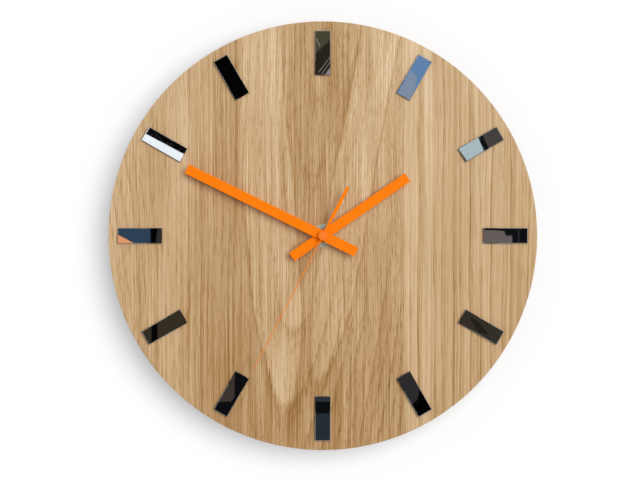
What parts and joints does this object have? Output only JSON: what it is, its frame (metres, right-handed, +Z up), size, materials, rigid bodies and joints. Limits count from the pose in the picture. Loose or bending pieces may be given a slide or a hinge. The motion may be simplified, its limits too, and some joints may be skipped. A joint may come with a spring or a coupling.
{
  "type": "wall clock",
  "caption": "Round oak-faced wall clock with mirror hour bars, flat orange hour and minute hands, a thin orange seconds hand and a battery quartz movement that hangs from a loop at its back.",
  "frame": {"origin": "on the dial axis, in the plane of the wall that the movement's back rests against", "axes": "+Y into the wall along the hand arbors, +Z up through twelve o'clock, +X to the viewer's right"},
  "size_m": [0.33, 0.0376, 0.33],
  "materials": {
    "oak": "satin",
    "fibreboard": "matte",
    "mirror_acrylic": "polished",
    "tape": "matte",
    "gasket_rubber": "matte",
    "nickel_plate": "polished",
    "brass": "satin",
    "orange_enamel": "satin",
    "orange_plastic": "gloss",
    "case_plastic": "matte",
    "gear_plastic": "satin",
    "steel": "satin",
    "magnet": "matte",
    "copper_wire": "satin",
    "board_laminate": "satin",
    "chip_resin": "gloss",
    "battery_can": "satin",
    "battery_sleeve": "gloss"
  },
  "bodies": {
    "clock_body": {"dial_core": "fibreboard", "oak_edge_band": "oak", "oak_face_veneer": "oak", "oak_back_veneer": "oak", "hour_marker_01": "mirror_acrylic", "hour_marker_02": "mirror_acrylic", "hour_marker_03": "mirror_acrylic", "hour_marker_04": "mirror_acrylic", "hour_marker_05": "mirror_acrylic", "hour_marker_06": "mirror_acrylic", "hour_marker_07": "mirror_acrylic", "hour_marker_08": "mirror_acrylic", "hour_marker_09": "mirror_acrylic", "hour_marker_10": "mirror_acrylic", "hour_marker_11": "mirror_acrylic", "hour_marker_12": "mirror_acrylic", "marker_tapes": "tape", "rubber_gasket": "gasket_rubber", "steel_washer": "nickel_plate", "hex_nut": "nickel_plate", "threaded_bush": "brass", "movement_case": "case_plastic", "movement_cover": "case_plastic", "train_bridge": "gear_plastic", "stator": "steel", "coil_core": "steel", "coil_bobbin": "gear_plastic", "coil_winding": "copper_wire", "circuit_board": "board_laminate", "quartz_crystal": "steel", "chip_blob": "chip_resin", "positive_contact": "steel", "negative_contact": "steel"},
    "seconds_group": {"second_wheel": "gear_plastic", "second_arbor": "steel", "second_hand": "orange_enamel", "second_hand_cap": "orange_plastic"},
    "minute_group": {"minute_arbor": "brass", "clutch_spring": "steel", "minute_hand": "orange_enamel", "minute_hand_collar": "brass"},
    "hour_group": {"hour_wheel": "gear_plastic", "hour_hand": "orange_enamel", "hour_hand_collar": "brass"},
    "setting_group": {"minute_wheel": "gear_plastic", "setting_knob": "case_plastic"},
    "centre_gear": {"centre_gear": "gear_plastic"},
    "third_wheel": {"third_wheel": "gear_plastic"},
    "intermediate_wheel": {"intermediate_wheel": "gear_plastic"},
    "rotor": {"rotor_pinion": "gear_plastic", "rotor_magnet": "magnet"},
    "battery": {"battery_cell": "battery_can", "battery_wrap": "battery_sleeve"}
  },
  "joints": [
    {"name": "seconds_turn", "type": "hinge", "parent": "clock_body", "child": "seconds_group", "pos_m": [0, 0, 0], "axis": [0, 1, 0], "continuous": true},
    {"name": "rotor_turn", "type": "hinge", "parent": "clock_body", "child": "rotor", "pos_m": [0.01456, 0, -0.00002], "axis": [0, 1, 0], "continuous": true},
    {"name": "intermediate_turn", "type": "hinge", "parent": "clock_body", "child": "intermediate_wheel", "pos_m": [0.00865, 0, 0.0046], "axis": [0, 1, 0], "continuous": true},
    {"name": "third_wheel_turn", "type": "hinge", "parent": "clock_body", "child": "third_wheel", "pos_m": [-0.0093, 0, -0.00339], "axis": [0, 1, 0], "continuous": true},
    {"name": "centre_gear_turn", "type": "hinge", "parent": "clock_body", "child": "centre_gear", "pos_m": [0, 0, 0], "axis": [0, 1, 0], "continuous": true},
    {"name": "minute_turn", "type": "hinge", "parent": "clock_body", "child": "minute_group", "pos_m": [0, 0, 0], "axis": [0, 1, 0], "continuous": true},
    {"name": "hour_turn", "type": "hinge", "parent": "clock_body", "child": "hour_group", "pos_m": [0, 0, 0], "axis": [0, 1, 0], "continuous": true},
    {"name": "setting_knob_turn", "type": "hinge", "parent": "clock_body", "child": "setting_group", "pos_m": [-0.00827, 0, 0.00694], "axis": [0, 1, 0], "continuous": true},
    {"name": "battery_lift_out", "type": "slide", "parent": "clock_body", "child": "battery", "axis": [0, 1, 0], "range_m": [0, 0.02]}
  ],
  "couplings": [
    {"joint": "rotor_turn", "follows": "seconds_turn", "ratio": 30},
    {"joint": "intermediate_turn", "follows": "seconds_turn", "ratio": -6},
    {"joint": "third_wheel_turn", "follows": "seconds_turn", "ratio": -0.125},
    {"joint": "centre_gear_turn", "follows": "seconds_turn", "ratio": 0.016667},
    {"joint": "hour_turn", "follows": "minute_turn", "ratio": 0.083333},
    {"joint": "setting_knob_turn", "follows": "minute_turn", "ratio": -0.33333}
  ]
}
